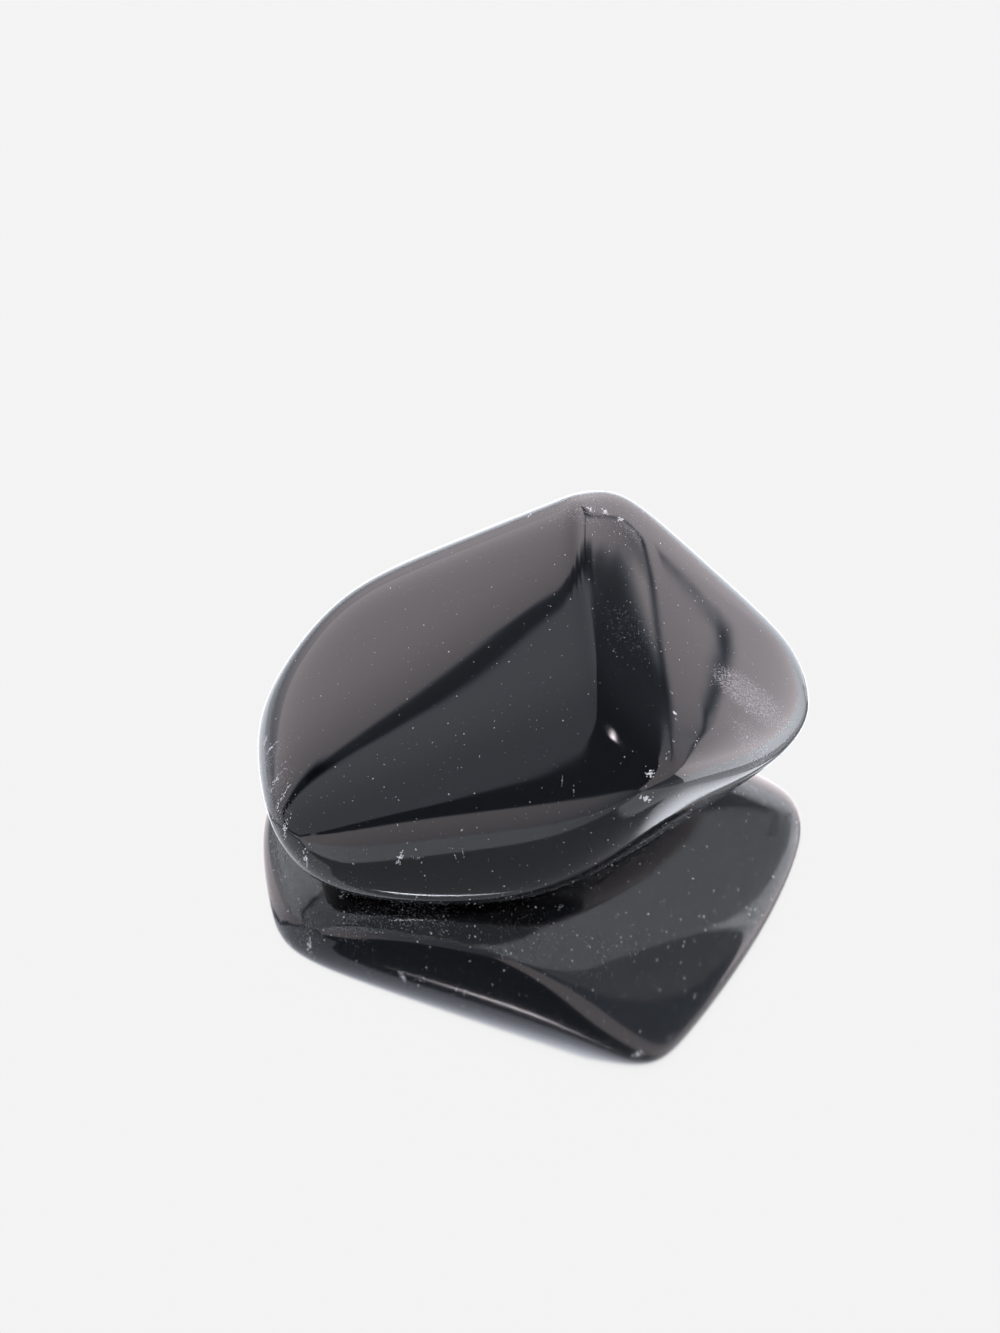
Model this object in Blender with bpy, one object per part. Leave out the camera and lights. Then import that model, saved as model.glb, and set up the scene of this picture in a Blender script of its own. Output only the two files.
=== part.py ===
"""Obsidian chunk: one tumbled, polished piece of black volcanic glass, lying on its flat underside.

Metres, +Z up, +X to the right, +Y away from the front. The origin is on the surface the stone lies
on, under the middle of its bounding box. A tumbling barrel grinds a rough lump down to a few broad
worn faces whose edges and corners run into one another, so the stone is described as just that:
each worn face by the way it faces and by its distance from the heart of the stone.
"""
import math

import bmesh
import bpy
import numpy as np

# ---- driving dimensions (metres, degrees) ----
LENGTH = 0.0320             # end to end along X; every other size below belongs to this length
HEART_HEIGHT = 0.0081       # the heart's height over the surface the stone lies on
EDGE_CRISPNESS = 13.0       # how sharply two worn faces meet: 2 gives a ball, 40 a cut gem
RIDGE_CRISPNESS = 26.0      # the roofs meet in a ridge that is less worn than the other edges

# Each worn face: bearing its normal points to (0 is +X, 90 is +Y), how far that normal leans up
# from level, and the face's distance from the heart. The roofs meet in the broad ridge on top.
ROOFS = {
    "left_roof": (186, 62, 0.0050),
    "right_roof": (357, 52, 0.0072),
    "right_shoulder": (352, 60, 0.0065),
    "front_roof": (201, 63, 0.0048),
}
OTHER_FACES = {
    "back_roof": (121, 47.5, 0.0102),
    "left_shoulder": (180, 29, 0.0128),
    "front_brow": (248, 41, 0.0081),
    "front_foot": (261, 2, 0.0117),
    "front_right_foot": (308, -23, 0.0117),
    "right_nose": (12, 53.5, 0.0166),
    "right_end": (333, -7, 0.0153),
    "back_right_end": (39, -5, 0.0255),
    "back": (74, -10, 0.0128),
    "back_left_end": (139, -2, 0.0163),
    "left_nose": (199.5, -20, 0.0175),
    "front_belly": (276.5, -51, 0.0126),
    "left_belly": (170, -71, 0.0110),
    "right_belly": (322, -56.5, 0.0096),
    "back_belly": (31, -58.5, 0.0117),
    "underside": (0, -90, 0.0083),
}

# The grid that the skin is drawn on: a cube's sides cut into squares and blown up to an egg of
# roughly the stone's proportions, so that the squares stay even on the finished stone.
SQUARES_PER_SIDE = 28
EGG_PROPORTIONS = np.array([1.45, 1.25, 0.75])


def face_normal(bearing, lean):
    """Unit vector that points to a bearing and leans up from level, both in degrees."""
    level = math.cos(math.radians(lean))
    return np.array([
        level * math.cos(math.radians(bearing)),
        level * math.sin(math.radians(bearing)),
        math.sin(math.radians(lean)),
    ])


def nearness(directions, faces):
    """How near each face's plane comes along each unit direction: one over its distance there."""
    normals = np.array([face_normal(bearing, lean) for bearing, lean, _ in faces.values()])
    distances = np.array([distance for _, _, distance in faces.values()])
    return np.maximum(directions @ normals.T, 0.0) / distances


def shared(nearnesses, crispness):
    """Power mean over the faces: one face decides in its middle, and two share near their edge."""
    return np.sum(nearnesses ** crispness, axis=1) ** (1.0 / crispness)


def skin_distance(directions):
    """Distance from the heart to the skin along each unit direction.

    The roofs are joined first, with their crisper ridge, and then all faces with their worn edges.
    """
    roof = shared(nearness(directions, ROOFS), RIDGE_CRISPNESS)
    others = nearness(directions, OTHER_FACES)
    worn = 1.0 / shared(np.column_stack([roof, others]), EDGE_CRISPNESS)
    # The flat spot underneath: the plane of the surface the stone lies on cuts the skin off.
    downward = np.maximum(-directions[:, 2], 1e-6)
    return np.minimum(worn, HEART_HEIGHT / downward)


def square_grid_ball(squares_per_side):
    """A ball made from a cube whose sides are cut into squares of nearly equal size."""
    ball = bmesh.new()
    bmesh.ops.create_cube(ball, size=2.0)
    bmesh.ops.subdivide_edges(
        ball, edges=ball.edges[:], cuts=squares_per_side - 1, use_grid_fill=True)
    for vert in ball.verts:
        # The tangent evens out the angles that the squares of a side are seen under.
        vert.co = [math.tan(place * math.pi / 4) for place in vert.co]
        vert.co.normalize()
    return ball


def stone_mesh():
    """The stone as a closed mesh, standing on z = 0 and centred on the Z axis."""
    ball = square_grid_ball(SQUARES_PER_SIDE)
    directions = np.array([vert.co for vert in ball.verts]) * EGG_PROPORTIONS
    directions /= np.linalg.norm(directions, axis=1, keepdims=True)
    points = directions * skin_distance(directions)[:, None]
    low, high = points.min(axis=0), points.max(axis=0)
    middle = np.array([(low[0] + high[0]) / 2, (low[1] + high[1]) / 2, low[2]])
    points = (points - middle) * (LENGTH / (high[0] - low[0]))
    for vert, point in zip(ball.verts, points):
        vert.co = point
    bmesh.ops.triangulate(ball, faces=ball.faces[:])
    bmesh.ops.recalc_face_normals(ball, faces=ball.faces[:])
    mesh = bpy.data.meshes.new("obsidian_chunk")
    ball.to_mesh(mesh)
    ball.free()
    mesh.shade_smooth()
    return mesh


def polished_obsidian():
    """Opaque black volcanic glass with a tumbled polish."""
    material = bpy.data.materials.new("polished_obsidian")
    material.use_nodes = True
    shader = material.node_tree.nodes["Principled BSDF"]
    shader.inputs["Base Color"].default_value = (0.006, 0.006, 0.008, 1.0)
    shader.inputs["Roughness"].default_value = 0.06
    shader.inputs["Metallic"].default_value = 0.0
    shader.inputs["IOR"].default_value = 1.49
    return material


def main():
    """Build the stone in a collection of its own."""
    for old in list(bpy.data.objects):
        bpy.data.objects.remove(old, do_unlink=True)
    collection = bpy.data.collections.new("obsidian_chunk")
    bpy.context.scene.collection.children.link(collection)
    stone = bpy.data.objects.new("obsidian_chunk", stone_mesh())
    stone.data.materials.append(polished_obsidian())
    collection.objects.link(stone)


main()
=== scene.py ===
"""Looks of the obsidian chunk: the worn skin, its bruises and frost, the mirror table and the light tent.

Metres throughout, unless a name says otherwise; +X to the right, +Y away from the front, +Z up, and the
origin on the table under the stone. The stone's skin comes from the same worn faces as its solid, drawn
on a finer grid. Everything that repeats, and the skin itself, is made with Geometry Nodes.
"""
import logging
import math
from collections.abc import Callable
from dataclasses import dataclass, field
from enum import Enum
from typing import Any

import bpy
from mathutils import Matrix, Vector


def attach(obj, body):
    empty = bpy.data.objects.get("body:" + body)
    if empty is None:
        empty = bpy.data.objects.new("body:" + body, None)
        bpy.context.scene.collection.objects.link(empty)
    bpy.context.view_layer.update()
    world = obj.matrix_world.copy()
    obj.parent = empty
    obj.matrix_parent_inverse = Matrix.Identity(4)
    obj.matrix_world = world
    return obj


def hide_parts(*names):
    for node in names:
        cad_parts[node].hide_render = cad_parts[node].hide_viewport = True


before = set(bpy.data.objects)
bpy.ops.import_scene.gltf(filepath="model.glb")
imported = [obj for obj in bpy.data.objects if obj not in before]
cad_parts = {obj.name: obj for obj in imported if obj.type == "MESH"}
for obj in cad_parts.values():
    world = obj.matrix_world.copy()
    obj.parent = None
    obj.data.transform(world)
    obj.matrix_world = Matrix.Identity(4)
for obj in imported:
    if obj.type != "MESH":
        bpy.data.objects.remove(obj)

log = logging.getLogger("obsidian_chunk")

Tree = bpy.types.NodeTree
Value = Any            # a node's output socket, or a plain number, vector or colour
Sockets = Any          # a node's sockets, by name

CAD_NODE = "obsidian_chunk"
BODY = "root"
MM = 0.001

# ---- attributes that the skin and the domes hand to their finish ----
EDGE_WEAR = "edge_wear"      # 0 in the middle of a worn face, towards 1 where several faces meet
FROST_AND_RIM_HIGHLIGHT = "frost"              # 0 on clear polish, 1 where it is all crushed; along the lower edge it also marks a painted highlight for the bright reflection rim
PALENESS = "paleness"        # 0 on the greyest fleck, 1 on the whitest
TENT_LIGHT = "tent_light"    # how bright the tent is

# ---- inputs that the stone's tree passes on to the group of its skin ----
SKIN_SIZES = ("Edge Crispness", "Heart Height", "Swell Height")


# ---- Small helpers ----
def linear(hex_colour: str) -> tuple[float, float, float, float]:
    """Turn an sRGB hex colour into Blender's linear colour.

    Args:
        hex_colour: Six hex digits with a leading hash.

    Returns:
        Linear red, green, blue and an alpha of 1.
    """
    parts = [int(hex_colour[place:place + 2], 16) / 255 for place in (1, 3, 5)]
    curved = [part / 12.92 if part <= 0.04045 else ((part + 0.055) / 1.055) ** 2.4 for part in parts]
    return (*curved, 1.0)


def direction(bearing: float, lean: float) -> Vector:
    """Give the unit vector that points to a bearing and leans up from level.

    Args:
        bearing: Degrees, 0 is +X and 90 is +Y.
        lean: Degrees up from level.

    Returns:
        The unit vector.
    """
    level = math.cos(math.radians(lean))
    return Vector((
        level * math.cos(math.radians(bearing)),
        level * math.sin(math.radians(bearing)),
        math.sin(math.radians(lean)),
    ))


def add_node(tree: Tree, kind: str, inputs: dict[int | str, Value] | None = None, **settings: Any) -> Sockets:
    """Add a node, set it up and link it.

    Args:
        tree: The node tree it goes into.
        kind: The node's type, such as ShaderNodeMath.
        inputs: What each input socket gets, by place or name: a value, another node's output, or a list
            of outputs.
        settings: The node's own properties.

    Returns:
        The new node's outputs.
    """
    node = tree.nodes.new(kind)
    for name, value in settings.items():
        setattr(node, name, value)
    for name, given in (inputs or {}).items():
        for value in given if isinstance(given, list) else [given]:
            if isinstance(value, bpy.types.NodeSocket):
                tree.links.new(value, node.inputs[name])
            else:
                node.inputs[name].default_value = value
    return node.outputs


def add_sockets(tree: Tree, way: str, kinds: dict[str, str]) -> None:
    """Give a group its sockets, on its INPUT or its OUTPUT side, by name and kind."""
    for name, kind in kinds.items():
        tree.interface.new_socket(name, in_out=way, socket_type=f"NodeSocket{kind}")


def new_material(name: str) -> tuple[bpy.types.Material, Tree, bpy.types.Node]:
    """Start a material.

    Args:
        name: Its name.

    Returns:
        The material, its tree and its Principled BSDF.
    """
    material = bpy.data.materials.new(name)
    material.use_nodes = True
    return material, material.node_tree, material.node_tree.nodes["Principled BSDF"]


def new_object(name: str, mesh: bpy.types.Mesh) -> bpy.types.Object:
    """Put a mesh into the scene, at the origin.

    Args:
        name: The object's name.
        mesh: What it shows.

    Returns:
        The object.
    """
    thing = bpy.data.objects.new(name, mesh)
    bpy.context.scene.collection.objects.link(thing)
    return thing


def drawn_mesh(source: bpy.types.Object) -> bpy.types.Mesh:
    """Turn what an object's modifiers draw into a plain mesh."""
    depsgraph = bpy.context.evaluated_depsgraph_get()
    return bpy.data.meshes.new_from_object(source.evaluated_get(depsgraph), depsgraph=depsgraph)


# ---- Finishes ----
@dataclass(frozen=True)
class PolishedObsidian:
    """Black volcanic glass out of a tumbling barrel, its last polish cut short.

    The glass is so dark that all the eye sees is the room in it. Tumbling leaves the skin a touch
    rippled and full of pits too small to make out, so that reflections have a soft edge, and it leaves
    a whitish frost of crushed glass where the stones knocked together; along the lower edge that frost is
    also a painted highlight for the bright reflection rim.
    """

    glass: str = "#0b0b0e"            # opaque black with the faint blue of iron-rich glass
    frosted_glass_and_rim_highlight: str = "#8f8f94"    # crushed glass scatters light like ground glass; on the lower edge this pale colour is also a painted highlight for the bright reflection rim
    ior: float = 1.49                 # obsidian 1.48 to 1.51
    polish_roughness: float = 0.05    # fine tumbling grit, short of a lens polish
    polish_spread: tuple[float, float] = (0.8, 1.25)    # the clearest and the dullest polish beside that
    polish_width: float = 5.0 * MM    # patches of duller polish
    polish_span: tuple[float, float] = (0.3, 0.7)       # where their pattern turns from clear to dull
    frost_roughness: float = 0.55
    ripple_width: float = 2.2 * MM    # from crest to crest, as felt with a fingernail
    ripple_height: float = 0.0012 * MM
    grain_width: float = 0.10 * MM    # crushed grains are 0.03 mm; drawn coarser, so that they show
    clear_grain: float = 0.78         # the grain pattern has to pass this to show on clear polish
    frost_gain: float = 0.45          # and so much less where the frost is full
    grain_edge: tuple[float, float] = (-0.02, 0.16)     # from bare glass to a whole grain
    grain_cover: float = 0.8          # how much of the glass a whole grain hides

    def make(self) -> bpy.types.Material:
        """Build the material.

        Returns:
            The material, which reads Object coordinates and the skin's frost.
        """
        material, tree, shader = new_material("polished_obsidian")
        shader.inputs["IOR"].default_value = self.ior
        place = add_node(tree, "ShaderNodeTexCoord")["Object"]
        frost = add_node(tree, "ShaderNodeAttribute", attribute_name=FROST_AND_RIM_HIGHLIGHT)["Fac"]

        # A fine noise breaks the frost up into specks instead of a grey wash.
        grain = add_node(
            tree, "ShaderNodeTexNoise",
            {"Vector": place, "Scale": 1 / self.grain_width, "Detail": 3.0, "Roughness": 0.6},
        )["Fac"]
        threshold = add_node(
            tree, "ShaderNodeMath", {0: frost, 1: -self.frost_gain, 2: self.clear_grain},
            operation="MULTIPLY_ADD",
        )[0]
        speck = add_node(tree, "ShaderNodeMath", {0: grain, 1: threshold}, operation="SUBTRACT")[0]
        bare, whole = self.grain_edge
        cover = add_node(
            tree, "ShaderNodeMapRange",
            {"Value": speck, "From Min": bare, "From Max": whole, "To Min": 0.0, "To Max": self.grain_cover},
            interpolation_type="SMOOTHSTEP",
        )[0]

        dullness = add_node(
            tree, "ShaderNodeTexNoise", {"Vector": place, "Scale": 1 / self.polish_width, "Detail": 2.0},
        )["Fac"]
        (start, end), (clear, dull) = self.polish_span, self.polish_spread
        polish = add_node(
            tree, "ShaderNodeMapRange",
            {"Value": dullness, "From Min": start, "From Max": end,
             "To Min": self.polish_roughness * clear, "To Max": self.polish_roughness * dull},
        )[0]

        # The pale frost colour is real crushed glass, and on the lower edge it is also a painted highlight
        # for the bright reflection rim.
        colour = add_node(
            tree, "ShaderNodeMix", {0: cover, 6: linear(self.glass), 7: linear(self.frosted_glass_and_rim_highlight)},
            data_type="RGBA",
        )[2]
        roughness = add_node(
            tree, "ShaderNodeMix", {0: cover, 2: polish, 3: self.frost_roughness}, data_type="FLOAT",
        )[0]
        ripple = add_node(
            tree, "ShaderNodeTexNoise", {"Vector": place, "Scale": 1 / self.ripple_width, "Detail": 1.0},
        )["Fac"]
        bump = add_node(
            tree, "ShaderNodeBump", {"Strength": 1.0, "Distance": self.ripple_height, "Height": ripple},
        )["Normal"]
        tree.links.new(colour, shader.inputs["Base Color"])
        tree.links.new(roughness, shader.inputs["Roughness"])
        tree.links.new(bump, shader.inputs["Normal"])
        return material


@dataclass(frozen=True)
class BruisedGlass:
    """Crushed glass in a small knock, white where the light catches the broken grains."""

    pale: str = "#d8d8db"
    dark: str = "#606066"
    roughness: float = 0.6
    ior: float = 1.49

    def make(self) -> bpy.types.Material:
        """Build the material.

        Returns:
            The material, which reads how pale each fleck is.
        """
        material, tree, shader = new_material("bruised_glass")
        shader.inputs["IOR"].default_value = self.ior
        shader.inputs["Roughness"].default_value = self.roughness
        paleness = add_node(tree, "ShaderNodeAttribute", attribute_name=PALENESS)["Fac"]
        colour = add_node(
            tree, "ShaderNodeMix", {0: paleness, 6: linear(self.dark), 7: linear(self.pale)},
            data_type="RGBA",
        )[2]
        tree.links.new(colour, shader.inputs["Base Color"])
        return material


# ---- The stone ----
@dataclass(frozen=True)
class WornFace:
    """One broad face that the barrel ground flat."""

    bearing: float     # degrees, where its normal points: 0 is +X and 90 is +Y
    lean: float        # degrees that the normal leans up from level
    distance: float    # metres from the heart of the stone


class Bruise(Enum):
    """Kinds of knock: how many flecks it left, and how much coarser than dust they are, as a share."""

    SCUFF = (14, 0.2)       # a narrow one is a scratch
    CLUSTER = (48, 1.4)


@dataclass(frozen=True)
class Knock:
    """A small bruise of crushed glass, placed by the way it lies from the heart of the stone."""

    bearing: float
    lean: float
    length: float
    width: float
    turn: float = 0.0           # degrees about the skin's normal
    bruise: Bruise = Bruise.SCUFF


@dataclass(frozen=True)
class FrostedPlace:
    """A stretch of skin whose polish was knocked dull, placed as a knock is."""

    bearing: float
    lean: float
    reach: float                # degrees, as seen from the heart, to where the polish is clear again
    strength: float
    on_edge: bool = False       # only where two worn faces meet


def frosted_places() -> list[FrostedPlace]:
    """List where the polish is dull."""
    return [
        FrostedPlace(356, 1, 14, 0.75),                # the patch on the right end
        FrostedPlace(338, -2, 12, 0.55),
        FrostedPlace(189, -12, 6, 0.5),                # under the left nose and along its foot
        FrostedPlace(198, -12, 6, 0.55),
        FrostedPlace(206, -14, 6, 0.55),
        FrostedPlace(214, -19, 6, 0.5),
        FrostedPlace(223, -24, 7, 0.4),
        FrostedPlace(232, -31, 20, 0.5, on_edge=True),   # the lower edge, from the left round the front; this frost is also a painted highlight for the bright reflection rim along that edge
        FrostedPlace(262, -30, 22, 0.35, on_edge=True),
        FrostedPlace(295, -30, 22, 0.35, on_edge=True),
        FrostedPlace(76, 35, 16, 0.55),                # the peak of the ridge
        FrostedPlace(60, 27, 11, 0.45),
        FrostedPlace(350, 45, 28, 0.36),               # the right roof's upper half
    ]


def knocks() -> list[Knock]:
    """List the knocks that stand out, from the left nose round the foot to the ridge."""
    return [
        Knock(182, -12, 0.66 * MM, 0.22 * MM, 80, Bruise.CLUSTER),
        Knock(186, -11, 0.48 * MM, 0.22 * MM, 40, Bruise.CLUSTER),
        Knock(189, -12, 0.44 * MM, 0.26 * MM, 10),
        Knock(194, -10, 0.35 * MM, 0.26 * MM),
        Knock(197, -11, 0.90 * MM, 0.25 * MM, 75, Bruise.CLUSTER),
        Knock(203, -11, 0.90 * MM, 0.25 * MM, 70, Bruise.CLUSTER),
        Knock(209, -13, 1.00 * MM, 0.25 * MM, 55, Bruise.CLUSTER),
        Knock(215, -17, 1.00 * MM, 0.25 * MM, 45, Bruise.CLUSTER),
        Knock(233, -16, 0.75 * MM, 0.29 * MM, 40, Bruise.CLUSTER),
        Knock(237, -16, 0.66 * MM, 0.20 * MM, -20),
        Knock(246, -15, 0.92 * MM, 0.07 * MM, 90),
        Knock(248, -14, 0.70 * MM, 0.07 * MM, 84),
        Knock(275, 8, 0.88 * MM, 0.07 * MM, 88),
        Knock(278, 6, 0.70 * MM, 0.07 * MM, 92),
        Knock(320, 11, 0.75 * MM, 0.09 * MM, 100),
        Knock(316, 10, 0.62 * MM, 0.09 * MM, 80),
        Knock(94, 30, 0.60 * MM, 0.30 * MM, 10, Bruise.CLUSTER),
        Knock(90, 33, 0.50 * MM, 0.25 * MM, 20),
        Knock(72, 36, 0.70 * MM, 0.35 * MM, 0, Bruise.CLUSTER),
        Knock(68, 32, 0.60 * MM, 0.30 * MM, -10, Bruise.CLUSTER),
        Knock(63, 29, 0.60 * MM, 0.40 * MM, 45, Bruise.CLUSTER),
        Knock(58, 27, 0.50 * MM, 0.30 * MM),
        Knock(327, 20, 0.22 * MM, 0.18 * MM),
        Knock(319, 17, 0.26 * MM, 0.22 * MM, 0, Bruise.CLUSTER),
        Knock(317, 16, 0.20 * MM, 0.15 * MM),
        Knock(309, 14, 0.31 * MM, 0.20 * MM),
        Knock(303, 13, 0.53 * MM, 0.15 * MM, 70),
        Knock(297, 11, 0.57 * MM, 0.35 * MM, 20, Bruise.CLUSTER),
        Knock(295, 5, 0.66 * MM, 0.44 * MM, 0, Bruise.CLUSTER),
        Knock(304, 3, 0.88 * MM, 0.22 * MM, 30),
        Knock(214, -30, 1.10 * MM, 0.66 * MM, 0, Bruise.CLUSTER),
        Knock(236, -38, 1.32 * MM, 0.44 * MM, 20, Bruise.CLUSTER),
        Knock(276, -40, 0.66 * MM, 0.44 * MM),
    ]


def roofs() -> dict[str, WornFace]:
    """Name the faces that meet in the broad ridge on top."""
    return {
        "left_roof": WornFace(186, 62, 5.0 * MM),
        "right_roof": WornFace(357, 52, 7.2 * MM),
        "right_shoulder": WornFace(352, 60, 6.5 * MM),
        "front_roof": WornFace(201, 63, 4.8 * MM),
    }


def other_faces() -> dict[str, WornFace]:
    """Name the sides, the ends and the bellies."""
    return {
        "back_roof": WornFace(121, 47.5, 10.2 * MM),
        "left_shoulder": WornFace(180, 29, 12.8 * MM),
        "front_brow": WornFace(248, 41, 8.1 * MM),
        "front_foot": WornFace(261, 2, 11.7 * MM),
        "front_right_foot": WornFace(308, -23, 11.7 * MM),
        "right_nose": WornFace(12, 53.5, 16.6 * MM),
        "right_end": WornFace(333, -7, 15.3 * MM),
        "back_right_end": WornFace(39, -5, 25.5 * MM),
        "back": WornFace(74, -10, 12.8 * MM),
        "back_left_end": WornFace(139, -2, 16.3 * MM),
        "left_nose": WornFace(199.5, -20, 17.5 * MM),
        "front_belly": WornFace(276.5, -51, 12.6 * MM),
        "left_belly": WornFace(170, -71, 11.0 * MM),
        "right_belly": WornFace(322, -56.5, 9.6 * MM),
        "back_belly": WornFace(31, -58.5, 11.7 * MM),
        "underside": WornFace(0, -90, 8.3 * MM),
    }


@dataclass
class Stone:
    """The tumbled stone: one skin over a handful of worn faces, with its knocks."""

    length: float = 32.0 * MM
    heart_height: float = 8.1 * MM
    edge_crispness: float = 13.0
    ridge_crispness: float = 26.0       # the ridge is less worn than the other edges
    squares_per_side: int = 98
    egg_proportions: tuple[float, float, float] = (1.45, 1.25, 0.75)
    swell_width: float = 7.0 * MM       # broad unevenness that the barrel leaves on a worn face
    swell_height: float = 0.012 * MM
    roofs: dict[str, WornFace] = field(default_factory=roofs)
    other_faces: dict[str, WornFace] = field(default_factory=other_faces)
    frosted_places: list[FrostedPlace] = field(default_factory=frosted_places)
    knocks: list[Knock] = field(default_factory=knocks)
    edge_frost_and_rim_highlight: tuple[float, float] = (0.22, 0.5)    # edge wear over which an edge's frost sets in, which on the lower edge is also a painted highlight for the bright reflection rim
    throw_reach: float = 26.0 * MM      # twice the usual way from the heart to the skin
    dust_density: float = 0.9e6         # flecks to the square metre on a plain face
    frost_dust: float = 7.0             # times as much dust that full frost adds
    edge_dust: float = 2.0              # times as much dust that a fully worn edge adds
    fleck_reach: float = 0.10 * MM      # from the middle of a large fleck to its tip, if it weren't squashed
    least_fleck: float = 0.25           # the smallest fleck's share of that
    fleck_rarity: float = 5.0           # the power that makes large flecks rare
    thinnest_fleck: tuple[float, float, float] = (0.5, 0.25, 0.1)    # shares of its size
    thickest_fleck: tuple[float, float, float] = (0.9, 0.6, 0.2)
    coarse_paleness: float = 0.3        # coarse flecks are paler
    uneven_paleness: float = 0.8        # and every fleck is up to this much paler by chance
    fleck_seed: int = 11
    size_seed: int = 5
    shape_seed: int = 7
    paleness_seed: int = 9

    def nearness(self, tree: Tree, way: Value, faces: dict[str, WornFace]) -> list[Value]:
        """Tell how near each face's plane comes along a direction.

        Args:
            tree: The node tree.
            way: The direction from the heart.
            faces: The faces.

        Returns:
            One over the distance to each plane, as a share of one over the heart's height.
        """
        found = []
        for name, face in faces.items():
            plane = direction(face.bearing, face.lean) * (self.heart_height / face.distance)
            facing = add_node(
                tree, "ShaderNodeVectorMath", {0: way, 1: plane}, operation="DOT_PRODUCT", label=name,
            )["Value"]
            found.append(add_node(tree, "ShaderNodeMath", {0: facing, 1: 0.0}, operation="MAXIMUM")[0])
        return found

    @staticmethod
    def shared(tree: Tree, values: list[Value], crispness: Value) -> tuple[Value, Value]:
        """Join values by a power mean: the greatest decides, and near-equal ones share.

        Args:
            tree: The node tree.
            values: The values.
            crispness: The power.

        Returns:
            The mean, and how evenly it is shared: 0 is one value alone.
        """
        total: Value = 0.0
        greatest: Value = 0.0
        for value in values:
            share = add_node(tree, "ShaderNodeMath", {0: value, 1: crispness}, operation="POWER")[0]
            total = add_node(tree, "ShaderNodeMath", {0: total, 1: share}, operation="ADD")[0]
            greatest = add_node(tree, "ShaderNodeMath", {0: greatest, 1: share}, operation="MAXIMUM")[0]
        root = add_node(tree, "ShaderNodeMath", {0: 1.0, 1: crispness}, operation="DIVIDE")[0]
        mean = add_node(tree, "ShaderNodeMath", {0: total, 1: root}, operation="POWER")[0]
        alone = add_node(tree, "ShaderNodeMath", {0: greatest, 1: total}, operation="DIVIDE")[0]
        evenness = add_node(tree, "ShaderNodeMath", {0: 1.0, 1: alone}, operation="SUBTRACT")[0]
        return mean, evenness

    def frost(self, tree: Tree, way: Value, wear: Value) -> Value:
        """Tell how frosted the skin is in a direction.

        Args:
            tree: The node tree.
            way: The direction from the heart.
            wear: The edge wear there.

        Returns:
            0 where the polish is clear and 1 where it is all crushed.
        """
        frost: Value = 0.0
        for place in self.frosted_places:
            closeness = add_node(
                tree, "ShaderNodeVectorMath", {0: way, 1: direction(place.bearing, place.lean)},
                operation="DOT_PRODUCT", label="frosted_place",
            )["Value"]
            border = math.cos(math.radians(place.reach))
            here = add_node(
                tree, "ShaderNodeMapRange",
                {"Value": closeness, "From Min": border, "From Max": 1.0,
                 "To Min": 0.0, "To Max": place.strength},
                interpolation_type="SMOOTHSTEP",
            )[0]
            # On the lower edge this frost is real wear and also a painted highlight: its pale colour stands
            # in for the bright reflection rim there.
            if place.on_edge:
                start, end = self.edge_frost_and_rim_highlight
                edge = add_node(
                    tree, "ShaderNodeMapRange", {"Value": wear, "From Min": start, "From Max": end},
                    interpolation_type="SMOOTHSTEP",
                )[0]
                here = add_node(tree, "ShaderNodeMath", {0: here, 1: edge}, operation="MULTIPLY")[0]
            frost = add_node(tree, "ShaderNodeMath", {0: frost, 1: here}, operation="MAXIMUM")[0]
        return frost

    def skin_group(self) -> Tree:
        """Make the group that turns a direction into a place on the skin.

        The planes of the worn faces are joined by a power mean: in the middle of a face its own plane
        decides, and near an edge the planes share, which rounds the edge off. How evenly they share
        is the edge wear.

        Returns:
            The node group.
        """
        tree = bpy.data.node_groups.new("worn_skin", "GeometryNodeTree")
        add_sockets(tree, "INPUT", {"Direction": "Vector", **dict.fromkeys(SKIN_SIZES, "Float")})
        add_sockets(tree, "OUTPUT", {"Place": "Vector", "Edge Wear": "Float"})
        given = add_node(tree, "NodeGroupInput")
        way = given["Direction"]
        roof, _ = self.shared(tree, self.nearness(tree, way, self.roofs), self.ridge_crispness)
        others = self.nearness(tree, way, self.other_faces)
        mean, wear = self.shared(tree, [roof, *others], given["Edge Crispness"])
        worn = add_node(tree, "ShaderNodeMath", {0: self.heart_height, 1: mean}, operation="DIVIDE")[0]

        # Broad unevenness, half of Swell Height either way.
        place = add_node(tree, "ShaderNodeVectorMath", {0: way, "Scale": worn}, operation="SCALE")[0]
        swell = add_node(
            tree, "ShaderNodeTexNoise", {"Vector": place, "Scale": 1 / self.swell_width, "Detail": 0.0},
        )["Fac"]
        centred = add_node(tree, "ShaderNodeMath", {0: swell, 1: 0.5}, operation="SUBTRACT")[0]
        uneven = add_node(
            tree, "ShaderNodeMath", {0: centred, 1: given["Swell Height"], 2: worn}, operation="MULTIPLY_ADD",
        )[0]

        # The flat spot underneath: the plane of the table cuts the skin off. A hair over 0 keeps a level
        # direction, which never meets the table, from being divided by nothing.
        height = add_node(tree, "ShaderNodeSeparateXYZ", {0: way})["Z"]
        down = add_node(tree, "ShaderNodeMath", {0: height, 1: -1.0}, operation="MULTIPLY")[0]
        steep = add_node(tree, "ShaderNodeMath", {0: down, 1: 1e-6}, operation="MAXIMUM")[0]
        cut = add_node(tree, "ShaderNodeMath", {0: given["Heart Height"], 1: steep}, operation="DIVIDE")[0]
        distance = add_node(tree, "ShaderNodeMath", {0: uneven, 1: cut}, operation="MINIMUM")[0]
        on_skin = add_node(tree, "ShaderNodeVectorMath", {0: way, "Scale": distance}, operation="SCALE")[0]
        add_node(tree, "NodeGroupOutput", {"Place": on_skin, "Edge Wear": wear})
        return tree

    @staticmethod
    def on_skin(tree: Tree, given: Sockets, skin: Tree, way: Value) -> Sockets:
        """Ask the skin's group about a direction, and give its outputs."""
        sizes = {name: given[name] for name in SKIN_SIZES}
        return add_node(tree, "GeometryNodeGroup", {"Direction": way, **sizes}, node_tree=skin)

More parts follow.
